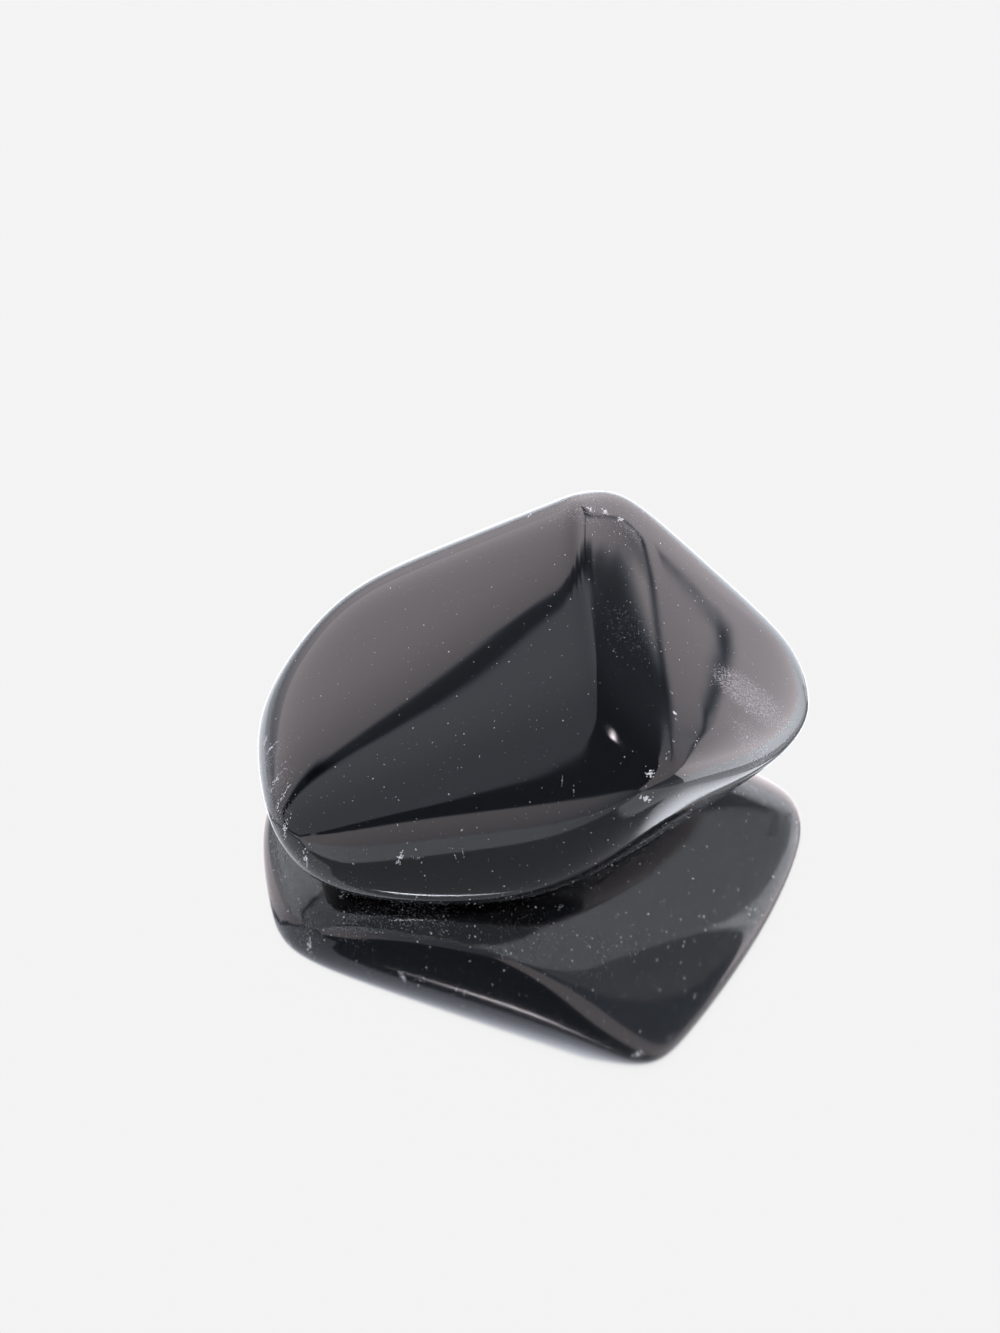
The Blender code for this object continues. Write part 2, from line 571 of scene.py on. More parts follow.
    def skin_round_heart(self, tree: Tree, given: Sockets, skin: Tree) -> Value:
        """Draw the skin round the heart, not yet on the table.

        A cube's grid, blown up to an egg of the stone's proportions, gives the directions. The tangent
        evens out its squares.

        Args:
            tree: The node tree.
            given: The tree's inputs.
            skin: The group that turns a direction into a place on the skin.

        Returns:
            The skin, with its edge wear and frost.
        """
        points = given["Points per Side"]
        grid = add_node(
            tree, "GeometryNodeMeshCube",
            {"Size": (2.0, 2.0, 2.0), "Vertices X": points, "Vertices Y": points, "Vertices Z": points},
        )["Mesh"]
        corner = add_node(tree, "GeometryNodeInputPosition")[0]
        angle = add_node(
            tree, "ShaderNodeVectorMath", {0: corner, "Scale": math.pi / 4}, operation="SCALE",
        )[0]
        even = add_node(tree, "ShaderNodeVectorMath", {0: angle}, operation="TANGENT")[0]
        ball = add_node(tree, "ShaderNodeVectorMath", {0: even}, operation="NORMALIZE")[0]
        egg = add_node(
            tree, "ShaderNodeVectorMath", {0: ball, 1: self.egg_proportions}, operation="MULTIPLY",
        )[0]
        way = add_node(tree, "ShaderNodeVectorMath", {0: egg}, operation="NORMALIZE")[0]
        found = self.on_skin(tree, given, skin, way)
        shaped = grid
        marks = {EDGE_WEAR: found["Edge Wear"], FROST_AND_RIM_HIGHLIGHT: self.frost(tree, way, found["Edge Wear"])}
        for name, value in marks.items():
            shaped = add_node(
                tree, "GeometryNodeStoreNamedAttribute", {"Geometry": shaped, "Name": name, "Value": value},
                data_type="FLOAT", domain="POINT",
            )[0]
        return add_node(tree, "GeometryNodeSetPosition", {"Geometry": shaped, "Position": found["Place"]})[0]

    @staticmethod
    def stander(tree: Tree, given: Sockets, shaped: Value) -> Callable[[Value], Value]:
        """Work out how the stone is stood on the table, centred and brought to its length.

        Args:
            tree: The node tree.
            given: The tree's inputs.
            shaped: The skin round the heart.

        Returns:
            A function that turns a place round the heart into its place on the table.
        """
        box = add_node(tree, "GeometryNodeBoundBox", {0: shaped})
        extent = add_node(
            tree, "ShaderNodeVectorMath", {0: box["Max"], 1: box["Min"]}, operation="SUBTRACT",
        )[0]
        low = add_node(tree, "ShaderNodeSeparateXYZ", {0: box["Min"]})
        across = add_node(tree, "ShaderNodeSeparateXYZ", {0: extent})
        middle = {
            axis: add_node(
                tree, "ShaderNodeMath", {0: across[axis], 1: 0.5, 2: low[axis]}, operation="MULTIPLY_ADD",
            )[0]
            for axis in ("X", "Y")
        }
        foot = add_node(tree, "ShaderNodeCombineXYZ", {**middle, "Z": low["Z"]})[0]
        growth = add_node(tree, "ShaderNodeMath", {0: given["Length"], 1: across["X"]}, operation="DIVIDE")[0]

        def stand(place: Value) -> Value:
            """Turn a place round the heart into its place on the table."""
            moved = add_node(tree, "ShaderNodeVectorMath", {0: place, 1: foot}, operation="SUBTRACT")[0]
            return add_node(tree, "ShaderNodeVectorMath", {0: moved, "Scale": growth}, operation="SCALE")[0]

        return stand

    def thrown(self, tree: Tree, given: Sockets, skin: Tree, stand: Callable[[Value], Value]) -> Value:
        """Throw each knock, a point of the seed mesh, out into flecks that lie on the skin.

        Args:
            tree: The node tree.
            given: The tree's inputs.
            skin: The group that turns a direction into a place on the skin.
            stand: Turns a place round the heart into its place on the table.

        Returns:
            A point for each fleck.
        """
        amount = add_node(tree, "GeometryNodeInputNamedAttribute", {"Name": "flecks"}, data_type="INT")[0]
        knocked = add_node(
            tree, "GeometryNodeDuplicateElements", {"Geometry": given["Geometry"], "Amount": amount},
            domain="POINT",
        )[0]
        aim = add_node(tree, "GeometryNodeInputPosition")[0]
        throw = add_node(
            tree, "FunctionNodeRandomValue",
            {"Min": (-1.0, -1.0, 0.0), "Max": (1.0, 1.0, 0.0), "Seed": given["Seed"]},
            data_type="FLOAT_VECTOR",
        )["Value"]
        # The cube of a throw keeps its sign and draws most flecks to the middle of the knock.
        squared = add_node(tree, "ShaderNodeVectorMath", {0: throw, 1: throw}, operation="MULTIPLY")[0]
        cubed = add_node(tree, "ShaderNodeVectorMath", {0: squared, 1: throw}, operation="MULTIPLY")[0]
        width = add_node(
            tree, "GeometryNodeInputNamedAttribute", {"Name": "spread"}, data_type="FLOAT_VECTOR",
        )[0]
        spread = add_node(tree, "ShaderNodeVectorMath", {0: cubed, 1: width}, operation="MULTIPLY")[0]
        turn = add_node(tree, "GeometryNodeInputNamedAttribute", {"Name": "turn"}, data_type="FLOAT")[0]
        turned = add_node(
            tree, "ShaderNodeVectorRotate", {"Vector": spread, "Angle": turn}, rotation_type="Z_AXIS",
        )[0]
        level = add_node(tree, "FunctionNodeAlignRotationToVector", {"Vector": aim}, axis="Z")[0]
        laid = add_node(tree, "FunctionNodeRotateVector", {"Vector": turned, "Rotation": level})[0]
        scattered = add_node(tree, "ShaderNodeVectorMath", {0: aim, 1: laid}, operation="ADD")[0]
        onward = add_node(tree, "ShaderNodeVectorMath", {0: scattered}, operation="NORMALIZE")[0]
        place = stand(self.on_skin(tree, given, skin, onward)["Place"])
        thrown = add_node(tree, "GeometryNodeSetPosition", {"Geometry": knocked, "Position": place})[0]
        return add_node(tree, "GeometryNodeMeshToPoints", {0: thrown}, mode="VERTICES")[0]

    def dust(self, tree: Tree, given: Sockets, stone: Value) -> Value:
        """Sprinkle the barrel's dust: sparse all over, thicker on edges and where the polish is dull.

        Args:
            tree: The node tree.
            given: The tree's inputs.
            stone: The skin.

        Returns:
            A point for each fleck.
        """
        thickness: Value = 1.0
        for name, times in ((FROST_AND_RIM_HIGHLIGHT, self.frost_dust), (EDGE_WEAR, self.edge_dust)):
            mark = add_node(tree, "GeometryNodeInputNamedAttribute", {"Name": name}, data_type="FLOAT")[0]
            thickness = add_node(
                tree, "ShaderNodeMath", {0: mark, 1: times, 2: thickness}, operation="MULTIPLY_ADD",
            )[0]
        density = add_node(
            tree, "ShaderNodeMath", {0: thickness, 1: given["Dust Density"]}, operation="MULTIPLY",
        )[0]
        return add_node(
            tree, "GeometryNodeDistributePointsOnFaces",
            {"Mesh": stone, "Density": density, "Seed": given["Seed"]}, distribute_method="RANDOM",
        )["Points"]

    def flecks(self, tree: Tree, given: Sockets, spots: Value, stone: Value) -> Value:
        """Lay a fleck of crushed glass on every spot.

        Args:
            tree: The node tree.
            given: The tree's inputs.
            spots: The points.
            stone: The skin that the flecks lie on.

        Returns:
            The flecks, realised and dressed.
        """
        place = add_node(tree, "GeometryNodeInputPosition")[0]
        normal = add_node(tree, "GeometryNodeInputNormal")[0]
        outward = add_node(
            tree, "GeometryNodeSampleNearestSurface",
            {"Mesh": stone, "Value": normal, "Sample Position": place}, data_type="FLOAT_VECTOR",
        )["Value"]
        tilt = add_node(tree, "FunctionNodeAlignRotationToVector", {"Vector": outward}, axis="Z")[0]
        spin = add_node(
            tree, "FunctionNodeRandomValue", {"Min": 0.0, "Max": math.tau, "Seed": given["Seed"]},
            data_type="FLOAT",
        )[1]
        about = add_node(tree, "ShaderNodeCombineXYZ", {"Z": spin})[0]
        turned = add_node(
            tree, "FunctionNodeRotateRotation", {"Rotation": tilt, "Rotate By": about},
            rotation_space="LOCAL",
        )[0]

        # A knock's flecks are coarser than the barrel's dust, which has no heft.
        chance = add_node(
            tree, "FunctionNodeRandomValue", {"Min": 0.0, "Max": 1.0, "Seed": self.size_seed},
            data_type="FLOAT",
        )[1]
        rare = add_node(tree, "ShaderNodeMath", {0: chance, 1: self.fleck_rarity}, operation="POWER")[0]
        share = add_node(
            tree, "ShaderNodeMath", {0: rare, 1: 1.0 - self.least_fleck, 2: self.least_fleck},
            operation="MULTIPLY_ADD",
        )[0]
        size = add_node(tree, "ShaderNodeMath", {0: share, 1: given["Fleck Reach"]}, operation="MULTIPLY")[0]
        heft = add_node(tree, "GeometryNodeInputNamedAttribute", {"Name": "heft"}, data_type="FLOAT")[0]
        coarseness = add_node(tree, "ShaderNodeMath", {0: heft, 1: 1.0}, operation="ADD")[0]
        size = add_node(tree, "ShaderNodeMath", {0: size, 1: coarseness}, operation="MULTIPLY")[0]
        squash = add_node(
            tree, "FunctionNodeRandomValue",
            {"Min": self.thinnest_fleck, "Max": self.thickest_fleck, "Seed": self.shape_seed},
            data_type="FLOAT_VECTOR",
        )["Value"]
        scale = add_node(tree, "ShaderNodeVectorMath", {0: squash, "Scale": size}, operation="SCALE")[0]
        grain = add_node(tree, "GeometryNodeMeshIcoSphere", {"Radius": 1.0, "Subdivisions": 1})["Mesh"]
        laid = add_node(
            tree, "GeometryNodeInstanceOnPoints",
            {"Points": spots, "Instance": grain, "Rotation": turned, "Scale": scale},
        )[0]
        uneven = add_node(
            tree, "FunctionNodeRandomValue",
            {"Min": 0.0, "Max": self.uneven_paleness, "Seed": self.paleness_seed}, data_type="FLOAT",
        )[1]
        pale = add_node(
            tree, "ShaderNodeMath", {0: coarseness, 1: self.coarse_paleness, 2: uneven},
            operation="MULTIPLY_ADD",
        )[0]
        toned = add_node(
            tree, "GeometryNodeStoreNamedAttribute", {"Geometry": laid, "Name": PALENESS, "Value": pale},
            data_type="FLOAT", domain="INSTANCE",
        )[0]
        real = add_node(tree, "GeometryNodeRealizeInstances", {0: toned})[0]
        return add_node(
            tree, "GeometryNodeSetMaterial", {"Geometry": real, "Material": given["Crushed Glass"]},
        )[0]

    def tree(self) -> Tree:
        """Make the tree that draws the whole stone.

        Returns:
            The Geometry Nodes tree, with the sizes as its inputs.
        """
        tree = bpy.data.node_groups.new("obsidian_chunk", "GeometryNodeTree")
        add_sockets(tree, "INPUT", {
            "Geometry": "Geometry", "Length": "Float", **dict.fromkeys(SKIN_SIZES, "Float"),
            "Points per Side": "Int", "Dust Density": "Float", "Fleck Reach": "Float", "Seed": "Int",
            "Glass": "Material", "Crushed Glass": "Material",
        })
        add_sockets(tree, "OUTPUT", {"Geometry": "Geometry"})
        given = add_node(tree, "NodeGroupInput")
        skin = self.skin_group()
        shaped = self.skin_round_heart(tree, given, skin)
        stand = self.stander(tree, given, shaped)
        place = stand(add_node(tree, "GeometryNodeInputPosition")[0])
        stone = add_node(tree, "GeometryNodeSetPosition", {"Geometry": shaped, "Position": place})[0]
        fallen = [self.thrown(tree, given, skin, stand), self.dust(tree, given, stone)]
        spots = add_node(tree, "GeometryNodeJoinGeometry", {0: fallen})[0]
        flecks = self.flecks(tree, given, spots, stone)
        smooth = add_node(tree, "GeometryNodeSetShadeSmooth", {"Geometry": stone, "Shade Smooth": True})[0]
        glazed = add_node(
            tree, "GeometryNodeSetMaterial", {"Geometry": smooth, "Material": given["Glass"]},
        )[0]
        whole = add_node(tree, "GeometryNodeJoinGeometry", {0: [flecks, glazed]})[0]
        add_node(tree, "NodeGroupOutput", {0: whole})
        return tree

    def seed_mesh(self) -> bpy.types.Mesh:
        """Make the mesh that carries the knocks, a point for each.

        Returns:
            The mesh, with the attributes that the tree reads.
        """
        mesh = bpy.data.meshes.new("stone_seed")
        mesh.from_pydata([direction(knock.bearing, knock.lean) for knock in self.knocks], [], [])
        kinds = {"spread": "FLOAT_VECTOR", "turn": "FLOAT", "flecks": "INT", "heft": "FLOAT"}
        for name, kind in kinds.items():
            mesh.attributes.new(name, kind, "POINT")
        # A new attribute moves the others, so they are fetched when all are there.
        spread, turn, flecks, heft = (mesh.attributes[name].data for name in kinds)
        for index, knock in enumerate(self.knocks):
            spread[index].vector = (knock.length / self.throw_reach, knock.width / self.throw_reach, 0.0)
            turn[index].value = math.radians(knock.turn)
            flecks[index].value, heft[index].value = knock.bruise.value
        return mesh

    def build(self, glass: bpy.types.Material, crushed: bpy.types.Material) -> bpy.types.Object:
        """Draw the stone and turn it into a plain mesh.

        Args:
            glass: The finish of the skin.
            crushed: The finish of the flecks in its knocks.

        Returns:
            The finished object, at the origin.
        """
        tree = self.tree()
        seed = new_object("stone_seed", self.seed_mesh())
        modifier = seed.modifiers.new("stone", "NODES")
        modifier.node_group = tree
        values = {
            "Length": self.length,
            "Edge Crispness": self.edge_crispness,
            "Heart Height": self.heart_height,
            "Swell Height": self.swell_height,
            "Points per Side": self.squares_per_side + 1,
            "Dust Density": self.dust_density,
            "Fleck Reach": self.fleck_reach,
            "Seed": self.fleck_seed,
            "Glass": glass,
            "Crushed Glass": crushed,
        }
        for item in tree.interface.items_tree:
            if item.in_out == "INPUT" and item.name in values:
                modifier[item.identifier] = values[item.name]
        mesh = drawn_mesh(seed)
        bpy.data.objects.remove(seed, do_unlink=True)
        mesh.name = "tumbled_stone"
        return new_object("tumbled_stone", mesh)


# ---- The studio ----
# A direction from the stone. Two numbers are a place in the tent's roof, one unit above the stone; a
# third one is the height, where the direction doesn't meet the roof.
Corner = tuple[float, float] | tuple[float, float, float]


def towards(corner: Corner) -> Vector:
    """Give the unit vector from the stone to a corner of the tent."""
    return Vector((*corner, 1.0)[:3]).normalized()


@dataclass(frozen=True)
class TentPanel:
    """A flat stretch of the light tent, seen from the stone: what lies inside all of its edges.

    A panel may fade from its brightness at one place to another brightness at a second place.
    """

    name: str
    corners: tuple[Corner, ...]
    brightness: float
    edge_softness: float = 1.0    # degrees over which its edge fades
    fade: tuple[Corner, Corner, float] | None = None


@dataclass(frozen=True)
class TentSeam:
    """A dark line in the tent, such as a sewn seam or the slit between two panels."""

    name: str
    path: tuple[Corner, ...]
    width: float                  # degrees
    edge_softness: float = 0.3    # degrees
    depth: float = 1.0            # 1 takes nearly all the light away, 0 leaves it


def tent_panels() -> list[TentPanel]:
    """List the tent's panels, each painted over those before it."""
    return [
        TentPanel(
            "low_back", ((-9, 2.4), (9, 2.4), (9, 6, -0.6), (-9, 6, -0.6)), 2.5,
            fade=((-1, 3.2), (-1, 2.5, 0), 1.1),
        ),
        TentPanel(
            "front_right", ((2.0, 0.3), (0, -1, 0), (1, -0.5, -1), (9, 0.3, -1), (9, 0.3, 0)), 0.75, 6.0,
        ),
        TentPanel(
            "low_right", ((2.2, 3.0), (2.2, -0.3), (9, -1.2, 0), (1, -0.1, -1), (0.59, 0.806, -0.5)),
            2.2, 0.6, fade=((3.44, 3.82), (0.8, 0.6, 0.03), 4.8),
        ),
        TentPanel(
            "right_curtain",
            ((2.1, 2.64), (0.76, 0.15), (0.42, -1.05), (-0.67, -7.12), (0, -1, 0), (2.3, -2), (2.3, 2.7)),
            1.0, 0.5, fade=((1.7, 2.0), (1.1, 0), 1.9),
        ),
        TentPanel(
            "right_wall", ((2.24, 3.02), (4.3, 5.5), (2.36, 2.4), (1.78, 1.9)), 2.2, 0.3,
            fade=((2.2, 3.0), (2.5, 2.7), 1.15),
        ),
        TentPanel(
            "right_wall_foot", ((1.75, 2.0), (2.42, 2.55), (2.36, 0.85), (2.3, -1), (1.55, -1)), 1.3, 0.3,
            fade=((2.2, 2.5), (2.2, 0.5), 1.8),
        ),
        TentPanel(
            "back_corner", ((1.14, 1.7), (1.54, 2.11), (2.06, 2.7), (2.2, 2.98), (1.57, 2.46), (1.03, 2.08)),
            2.2, 0.15, fade=((1.5, 2.2), (1.95, 2.65), 1.2),
        ),
        TentPanel("left_wall", ((-2.6, 1.3), (-2.6, -2.2), (-9, -9, 0), (-9, 9, 0)), 1.4),
        TentPanel(
            "front_strip",
            ((-9.5, -4.1), (-1.45, -2.15), (-1.33, -2.25), (-0.67, -7.12), (0.2, -9, 0), (-9, -9, -0.3),
             (-9, -2, 0)),
            1.9, fade=((-1.6, -2.3), (-0.4, -7), 0.7),
        ),
        TentPanel(
            "back_wall",
            ((-14, 0.9), (-0.1, 0.85), (0.4, 1.0), (0.9, 1.4), (1.05, 1.58), (1.1, 1.75), (1.04, 2.1),
             (-1.7, 3.85), (-3.3, 4.5), (-14, 5.5)),
            1.45, 0.4, fade=((-1.1, 1.15), (-1.8, 3.9), 2.5),
        ),
        TentPanel(
            "softbox",
            ((-13, 0.4), (-14, -2.5), (-9.5, -5), (-1.12, -1.42), (-0.18, -0.18), (0.3, 0.58), (-0.13, 0.9),
             (-0.98, 1.1)),
            1.15, 0.4, fade=((-2, 0.8), (-0.2, -0.2), 1.0),
        ),
        TentPanel(
            "softbox_notch",
            ((-1.0, -1.3), (-0.87, -1.04), (-0.73, -0.79), (-0.39, -0.44), (-0.6, -0.95)), 0.2, 0.5,
        ),
        TentPanel(
            "softbox_corner",
            ((-0.3, 0.3), (0.07, 0.33), (1.55, 2.06), (1.45, 2.0), (0.37, 1.05), (-0.1, 0.63)), 1.1, 0.4,
        ),
        TentPanel("softbox_back", ((-0.3, 0.6), (0.3, 0.58), (0.37, 1.05), (-0.13, 0.9)), 1.1, 0.2),
        TentPanel("lamp", ((-0.12, -0.4), (-0.02, -0.31), (-0.25, -0.54), (-0.35, -0.6)), 40.0, 0.4),
    ]


def tent_seams() -> list[TentSeam]:
    """List the tent's seams, drawn over all its panels."""
    return [
        TentSeam(
            "roof_slit",
            ((-1.3, 1.13), (-1.13, 1.12), (-1.04, 1.12), (-1.0, 1.14), (-0.97, 1.16), (-0.77, 1.09),
             (-0.58, 1.0), (-0.13, 0.9), (0.35, 1.03)),
            2.8, depth=0.9,
        ),
        TentSeam("roof_slit_tip", ((0.35, 1.03), (0.87, 1.41), (1.16, 1.7), (1.45, 2.0)), 1.4),
        TentSeam("roof_slit_left", ((-1.3, 1.13), (-1.9, 1.04), (-3.47, 1.24)), 4.5, 1.0),
        TentSeam(
            "roof_slit_end", ((-3.47, 1.24), (-15.5, -1), (-16, -4.85), (-11.2, -6.0), (-3.64, -2.6)),
            3.4, 0.8, 0.9,
        ),
        TentSeam("corner_seam", ((1.14, 1.7), (1.19, 1.8), (1.2, 1.9), (1.16, 2.13)), 0.8, 0.2),
        TentSeam("back_seam", ((1.16, 2.13), (1.57, 2.45), (1.94, 2.8), (2.19, 2.98)), 0.5, 0.2),
        TentSeam(
            "right_seam",
            ((2.19, 2.98), (2.15, 2.83), (2.01, 2.54), (1.93, 2.35), (1.76, 1.86), (1.4, 0.72)), 0.5, 0.2,
        ),
        TentSeam("wall_seam_top", ((2.6, 3.48), (3.6, 4.68), (4.29, 5.43)), 0.5, 0.4, 0.8),
        TentSeam("wall_seam", ((4.29, 5.43), (3.93, 4.86), (2.66, 3.1), (2.34, 2.3), (2.36, 0.85)), 0.6),
        TentSeam("back_low_seam", ((-3.27, 4.54), (-2.1, 4.2), (-1.7, 3.8), (-0.03, 2.6)), 0.4, depth=0.5),
    ]


@dataclass
class LightTent:
    """The tent round the table: one dome that lights the stone and one that the table shows."""

    stone_dome_radius: float = 1.1
    table_dome_radius: float = 1.3
    rings: int = 480                    # a point every 0.4 degrees, as fine as the seams need
    base_brightness: float = 0.2        # the dim room behind the tent's openings
    seam_darkness: float = 0.92         # the share of the light that a seam takes away
    table_white: float = 0.975          # what the camera sees in the table
    table_haze: float = 0.38            # light that the pale table scatters up under the stone
    shade_tint: str = "#dcebff"
    haze_tint: str = "#f3f7ff"
    cloth_tint: str = "#fff6fb"
    tint_span: tuple[float, float] = (0.6, 1.7)    # brightness over which shade turns to lit cloth
    panels: list[TentPanel] = field(default_factory=tent_panels)
    seams: list[TentSeam] = field(default_factory=tent_seams)
    table_glare: TentPanel = TentPanel(
        "table_glare", ((0.79, 0.79), (1.1, -0.4), (0.54, -0.2), (0.41, 0.41)), 3.1,
        fade=((0.8, 0.5), (0.9, -0.1), 1.8),
    )

    def light_group(self, panels: list[TentPanel]) -> Tree:
        """Make the group that gives the tent's brightness in a direction.

        Args:
            panels: The panels, each painted over those before it.

        Returns:
            The Geometry Nodes group, which is used on the points of a dome.
        """
        tree = bpy.data.node_groups.new("tent_light", "GeometryNodeTree")
        add_sockets(tree, "OUTPUT", {"Brightness": "Float"})
        place = add_node(tree, "GeometryNodeInputPosition")[0]
        way = add_node(tree, "ShaderNodeVectorMath", {0: place}, operation="NORMALIZE")[0]
        brightness: Value = self.base_brightness
        for panel in panels:
            brightness = self.painted(tree, brightness, way, panel)
        for seam in self.seams:
            brightness = self.darkened(tree, brightness, way, seam)
        add_node(tree, "NodeGroupOutput", {0: brightness})
        return tree

    @staticmethod
    def painted(tree: Tree, under: Value, way: Value, panel: TentPanel) -> Value:
        """Paint a panel over what is there.

        Args:
            tree: The dome's light group.
            under: The brightness so far.
            way: The direction looked in.
            panel: The panel.

        Returns:
            The new brightness.
        """
        over: Value = panel.brightness
        if panel.fade:
            start, end = (towards(corner) for corner in panel.fade[:2])
            change = end - start
            along = add_node(
                tree, "ShaderNodeVectorMath", {0: way, 1: change}, operation="DOT_PRODUCT",
            )["Value"]
            over = add_node(
                tree, "ShaderNodeMapRange",
                {"Value": along, "From Min": start.dot(change), "From Max": end.dot(change),
                 "To Min": panel.brightness, "To Max": panel.fade[2]},
            )[0]
        softness = math.sin(math.radians(panel.edge_softness))
        corners = [towards(corner) for corner in panel.corners]
        middle = sum(corners, Vector()).normalized()
        cover: Value = 1.0
        for first, second in zip(corners, corners[1:] + corners[:1]):
            inward = first.cross(second).normalized()
            if inward.dot(middle) < 0:
                inward.negate()
            inside = add_node(
                tree, "ShaderNodeVectorMath", {0: way, 1: inward}, operation="DOT_PRODUCT", label=panel.name,
            )["Value"]
            fade = add_node(
                tree, "ShaderNodeMapRange", {"Value": inside, "From Min": -softness, "From Max": softness},
                interpolation_type="SMOOTHSTEP",
            )[0]
            cover = add_node(tree, "ShaderNodeMath", {0: cover, 1: fade}, operation="MULTIPLY")[0]
        return add_node(tree, "ShaderNodeMix", {0: cover, 2: under, 3: over}, data_type="FLOAT")[0]

    def darkened(self, tree: Tree, under: Value, way: Value, seam: TentSeam) -> Value:
        """Draw a seam's dark line over what is there.

        Args:
            tree: The dome's light group.
            under: The brightness so far.
            way: The direction looked in.
            seam: The line.

        Returns:
            The new brightness.
        """
        half = math.sin(math.radians(seam.width / 2))
        softness = math.sin(math.radians(seam.edge_softness))
        corners = [towards(corner) for corner in seam.path]
        line: Value = 0.0
        for first, second in zip(corners, corners[1:]):
            side = first.cross(second).normalized()
            across = add_node(
                tree, "ShaderNodeVectorMath", {0: way, 1: side}, operation="DOT_PRODUCT", label=seam.name,
            )["Value"]
            away = add_node(tree, "ShaderNodeMath", {0: across}, operation="ABSOLUTE")[0]
            cover = add_node(
                tree, "ShaderNodeMapRange",
                {"Value": away, "From Min": half - softness, "From Max": half + softness,
                 "To Min": 1.0, "To Max": 0.0},
                interpolation_type="SMOOTHSTEP",
            )[0]
            for end in (side.cross(first), second.cross(side)):
                within = add_node(
                    tree, "ShaderNodeVectorMath", {0: way, 1: end}, operation="DOT_PRODUCT",
                )["Value"]
                fade = add_node(
                    tree, "ShaderNodeMapRange",
                    {"Value": within, "From Min": -half - softness, "From Max": -half / 2},
                    interpolation_type="SMOOTHSTEP",
                )[0]
                cover = add_node(tree, "ShaderNodeMath", {0: cover, 1: fade}, operation="MULTIPLY")[0]
            line = add_node(tree, "ShaderNodeMath", {0: line, 1: cover}, operation="MAXIMUM")[0]
        taken = -self.seam_darkness * seam.depth
        kept = add_node(tree, "ShaderNodeMath", {0: line, 1: taken, 2: 1.0}, operation="MULTIPLY_ADD")[0]
        return add_node(tree, "ShaderNodeMath", {0: under, 1: kept}, operation="MULTIPLY")[0]

    @staticmethod
    def glow_material(name: str) -> tuple[bpy.types.Material, Tree, Value]:
        """Start a material without a surface.

        Args:
            name: Its name.

        Returns:
            The material, its tree and the tent's brightness.
        """
        material, tree, _ = new_material(name)
        tree.nodes.clear()
        return material, tree, add_node(tree, "ShaderNodeAttribute", attribute_name=TENT_LIGHT)["Fac"]

    def tent_cloth(self) -> bpy.types.Material:
        """Make the glow that lights the stone: cool where the room is dark, a little warm on lit cloth.

        Returns:
            The material, which lets the outer dome be seen through it.
        """
        material, tree, brightness = self.glow_material("tent_cloth_lit")
        shade, cloth = self.tint_span
        lit = add_node(
            tree, "ShaderNodeMapRange", {"Value": brightness, "From Min": shade, "From Max": cloth},
            interpolation_type="SMOOTHSTEP",
        )[0]
        colour = add_node(
            tree, "ShaderNodeMix", {0: lit, 6: linear(self.shade_tint), 7: linear(self.cloth_tint)},
            data_type="RGBA",
        )[2]
        glow = add_node(tree, "ShaderNodeEmission", {"Color": colour, "Strength": brightness})[0]
        clear = add_node(tree, "ShaderNodeBsdfTransparent")[0]
        both = add_node(tree, "ShaderNodeAddShader", {0: glow, 1: clear})[0]
        add_node(tree, "ShaderNodeOutputMaterial", {"Surface": both})
        return material

    def tent_in_table(self) -> bpy.types.Material:
        """Make the glow that the table shows: plain white, or the tent's pattern under the stone.

        Returns:
            The material.
        """
        material, tree, brightness = self.glow_material("tent_in_table")
        bounces = add_node(tree, "ShaderNodeLightPath")["Ray Depth"]
        # Light that met the stone or the table first.
        later = add_node(tree, "ShaderNodeMath", {0: bounces, 1: 1.5}, operation="GREATER_THAN")[0]
        hazy = add_node(tree, "ShaderNodeMath", {0: brightness, 1: self.table_haze}, operation="ADD")[0]
        strength = add_node(
            tree, "ShaderNodeMix", {0: later, 2: self.table_white, 3: hazy}, data_type="FLOAT",
        )[0]
        colour = add_node(
            tree, "ShaderNodeMix", {0: later, 6: (1.0, 1.0, 1.0, 1.0), 7: linear(self.haze_tint)},
            data_type="RGBA",
        )[2]
        glow = add_node(tree, "ShaderNodeEmission", {"Color": colour, "Strength": strength})[0]
        add_node(tree, "ShaderNodeOutputMaterial", {"Surface": glow})
        return material

    def dome(
        self, name: str, radius: float, panels: list[TentPanel], material: bpy.types.Material,
        receiver: bpy.types.Object,
    ) -> bpy.types.Object:
        """Make a ball round the whole set, with the tent's brightness stored on its points.

        Args:
            name: The object's name.
            radius: Metres.
            panels: The tent's panels.
            material: Its glow.
            receiver: The one thing that it lights.

        Returns:
            The dome.
        """
        tree = bpy.data.node_groups.new(name, "GeometryNodeTree")
        add_sockets(tree, "OUTPUT", {"Geometry": "Geometry"})
        sizes = {"Segments": 2 * self.rings, "Rings": self.rings, "Radius": radius}
        ball = add_node(tree, "GeometryNodeMeshUVSphere", sizes)["Mesh"]
        light = add_node(tree, "GeometryNodeGroup", node_tree=self.light_group(panels))[0]
        lit = add_node(
            tree, "GeometryNodeStoreNamedAttribute", {"Geometry": ball, "Name": TENT_LIGHT, "Value": light},
            data_type="FLOAT", domain="POINT",
        )[0]
        add_node(tree, "NodeGroupOutput", {0: lit})
        seed = new_object(name, bpy.data.meshes.new(name))
        seed.modifiers.new("dome", "NODES").node_group = tree
        mesh = drawn_mesh(seed)
        seed.modifiers.clear()
        seed.data = mesh
        mesh.materials.clear()
        mesh.materials.append(material)
        material.cycles.emission_sampling = "NONE"
        receivers = bpy.data.collections.new(f"lit_by_{name}")
        receivers.objects.link(receiver)
        seed.light_linking.receiver_collection = receivers
        return seed

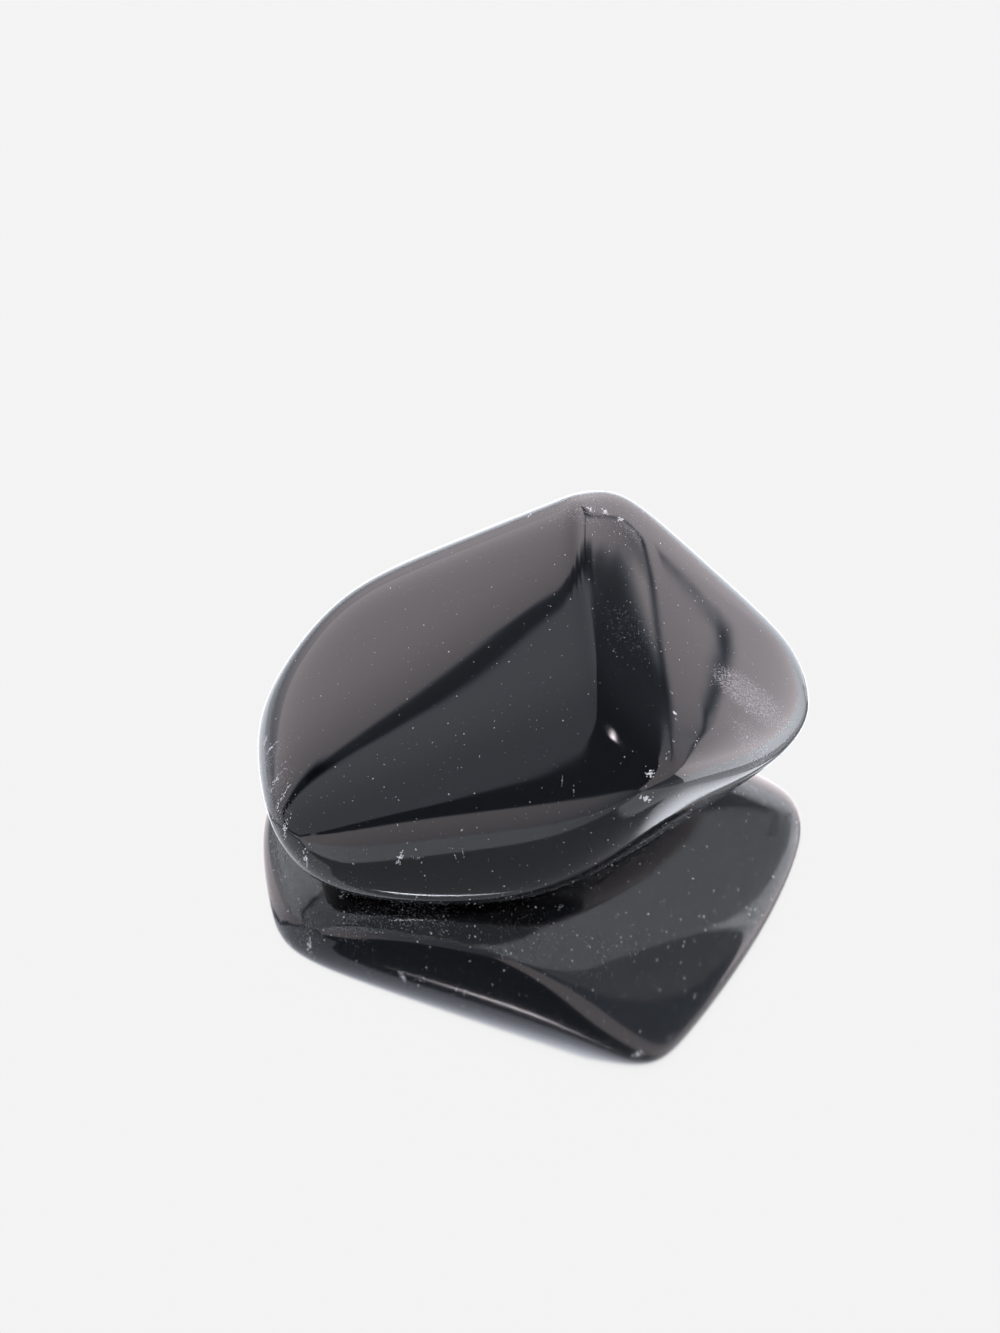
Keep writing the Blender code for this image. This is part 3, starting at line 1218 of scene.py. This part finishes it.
    def build(self, stone: bpy.types.Object, table: bpy.types.Object) -> None:
        """Hang the two domes.

        Args:
            stone: What the inner dome lights.
            table: What the outer dome lights.
        """
        inner = self.dome("tent_round_stone", self.stone_dome_radius, self.panels, self.tent_cloth(), stone)
        inner.visible_camera = False
        all_panels = [*self.panels, self.table_glare]
        self.dome("tent_round_table", self.table_dome_radius, all_panels, self.tent_in_table(), table)


@dataclass
class MirrorTable:
    """The pale mirror-bright top that the stone lies on."""

    radius: float = 1.2
    rim_corners: int = 96
    reflectance: float = 0.92
    roughness: float = 0.06

    def build(self) -> bpy.types.Object:
        """Lay the table top.

        Returns:
            The table.
        """
        material, _, shader = new_material("pale_mirror")
        shader.inputs["Base Color"].default_value = (self.reflectance,) * 3 + (1.0,)
        shader.inputs["Metallic"].default_value = 1.0
        shader.inputs["Roughness"].default_value = self.roughness
        turns = [math.tau * corner / self.rim_corners for corner in range(self.rim_corners)]
        rim = [(self.radius * math.cos(turn), self.radius * math.sin(turn), 0.0) for turn in turns]
        mesh = bpy.data.meshes.new("table_top")
        mesh.from_pydata(rim, [], [tuple(range(self.rim_corners))])
        mesh.materials.append(material)
        table = new_object("table_top", mesh)
        return table


@dataclass
class StudioCamera:
    """The camera, looking down on the stone from the front."""

    place: tuple[float, float, float] = (-2.0 * MM, -160.2 * MM, 125.1 * MM)
    look_down: float = 36.0        # degrees
    lens: float = 93.74            # mm
    sensor: float = 36.0           # mm, its long side
    nearest: float = 0.01
    farthest: float = 5.0

    def build(self) -> bpy.types.Object:
        """Set the camera up and make it the scene's.

        Returns:
            The camera.
        """
        data = bpy.data.cameras.new("studio_camera")
        data.lens = self.lens
        data.sensor_width = self.sensor
        data.sensor_fit = "AUTO"
        data.clip_start = self.nearest
        data.clip_end = self.farthest
        camera = bpy.data.objects.new("studio_camera", data)
        camera.location = self.place
        camera.rotation_euler = (math.radians(90 - self.look_down), 0.0, 0.0)
        bpy.context.scene.collection.objects.link(camera)
        bpy.context.scene.camera = camera
        return camera


def report(piece: bpy.types.Object) -> None:
    """Log a piece's name, size in millimetres and number of faces."""
    size = [round(length / MM, 2) for length in piece.dimensions]
    log.info("%s: %s mm, %d faces", piece.name, size, len(piece.data.polygons))


def main() -> None:
    """Build the stone, its studio and the camera."""
    logging.basicConfig(level=logging.INFO, format="%(name)s: %(message)s")
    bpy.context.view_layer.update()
    stone = Stone().build(PolishedObsidian().make(), BruisedGlass().make())
    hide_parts(CAD_NODE)
    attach(stone, BODY)
    report(stone)
    table = MirrorTable().build()
    LightTent().build(stone, table)
    StudioCamera().build()
    bpy.context.scene.view_settings.view_transform = "Standard"
    bpy.context.view_layer.update()


if __name__ == "__main__":
    main()
